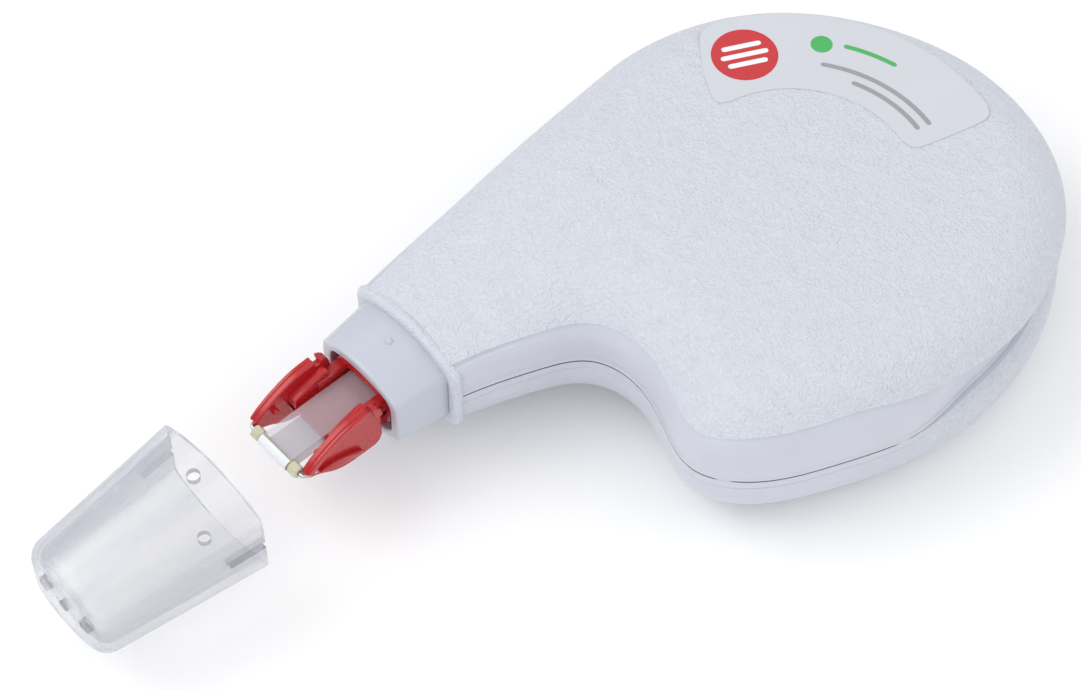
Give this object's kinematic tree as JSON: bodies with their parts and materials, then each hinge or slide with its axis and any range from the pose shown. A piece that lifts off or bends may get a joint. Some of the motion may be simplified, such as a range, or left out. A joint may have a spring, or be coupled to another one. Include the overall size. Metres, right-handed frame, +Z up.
{
  "type": "correction tape roller",
  "caption": "Teardrop correction tape roller with a clear pull-off cap, rocking red tip head, fine tip roller, geared tape reels and a slip clutch.",
  "frame": {"origin": "on the flat underside, below the centre of the round tail", "axes": "+X from the nose to the tail along the nose axis, +Z up through the thickness, +Y to the straight back edge"},
  "size_m": [0.1263, 0.062, 0.0231],
  "materials": {
    "shell": "fine pebble grain, satin",
    "collar": "smooth moulded gloss",
    "label": "glossy film sticker",
    "cap": "clear moulded plastic",
    "head": "glossy red moulding",
    "steel": "drawn wire",
    "roller": "smooth moulding",
    "tape": "white correction film",
    "carrier": "used translucent carrier film",
    "carrier_wound": "wound carrier film",
    "reel": "moulded",
    "takeup": "moulded",
    "gear": "moulded acetal",
    "felt": "felt disc"
  },
  "bodies": {
    "body": {"upper_shell": "shell", "lower_shell": "shell", "nose_collar": "collar", "label": "label", "tape_run": "tape", "carrier_run": "carrier", "upper_guide_pin": "steel", "lower_guide_pin": "steel"},
    "cap": {"cap": "cap"},
    "head": {"tip_head": "head", "axle_wire": "steel", "tape_loop": "tape", "carrier_loop": "carrier"},
    "roller": {"tip_roller": "roller"},
    "drive": {"supply_gear": "gear", "clutch_spring": "steel"},
    "supply": {"supply_reel": "reel", "clutch_disc": "felt", "tape_pack": "tape"},
    "takeup": {"takeup_reel": "takeup", "carrier_pack": "carrier_wound"},
    "idler": {"idler_gear": "gear"},
    "upper_guide": {"upper_guide_roller": "reel"},
    "lower_guide": {"lower_guide_roller": "reel"}
  },
  "joints": [
    {"name": "cap_slide", "type": "slide", "parent": "body", "child": "cap", "axis": [1, 0, 0], "range_m": [0, 0.028]},
    {"name": "head_rock", "type": "hinge", "parent": "body", "child": "head", "pos_m": [-0.065, 0.018, 0.0115], "axis": [1, 0, 0], "range_deg": [-5, 5], "stiffness_Nm_per_rad": 0.004},
    {"name": "roller_spin", "type": "hinge", "parent": "head", "child": "roller", "pos_m": [-0.065, 0.018, 0.0115], "axis": [0, 1, 0], "continuous": true},
    {"name": "drive_spin", "type": "hinge", "parent": "body", "child": "drive", "pos_m": [0.0115, -0.003, 0.0042], "axis": [0, 0, 1], "continuous": true},
    {"name": "clutch_slip", "type": "hinge", "parent": "drive", "child": "supply", "pos_m": [0.0115, -0.003, 0.0115], "axis": [0, 0, 1], "continuous": true},
    {"name": "takeup_spin", "type": "hinge", "parent": "body", "child": "takeup", "pos_m": [-0.0132, -0.0015, 0.0115], "axis": [0, 0, 1], "continuous": true},
    {"name": "idler_spin", "type": "hinge", "parent": "body", "child": "idler", "pos_m": [-0.00639, 0.00838, 0.0042], "axis": [0, 0, 1], "continuous": true},
    {"name": "upper_guide_spin", "type": "hinge", "parent": "body", "child": "upper_guide", "pos_m": [-0.03, 0.0183, 0.0115], "axis": [0, 0, 1], "continuous": true},
    {"name": "lower_guide_spin", "type": "hinge", "parent": "body", "child": "lower_guide", "pos_m": [-0.03, 0.0147, 0.0115], "axis": [0, 0, 1], "continuous": true}
  ],
  "couplings": [
    {"joint": "idler_spin", "follows": "drive_spin", "ratio": -2.5333},
    {"joint": "takeup_spin", "follows": "drive_spin", "ratio": 2.5333},
    {"joint": "roller_spin", "follows": "drive_spin", "ratio": 15.941},
    {"joint": "upper_guide_spin", "follows": "drive_spin", "ratio": 15.056},
    {"joint": "lower_guide_spin", "follows": "drive_spin", "ratio": -6.4524}
  ]
}
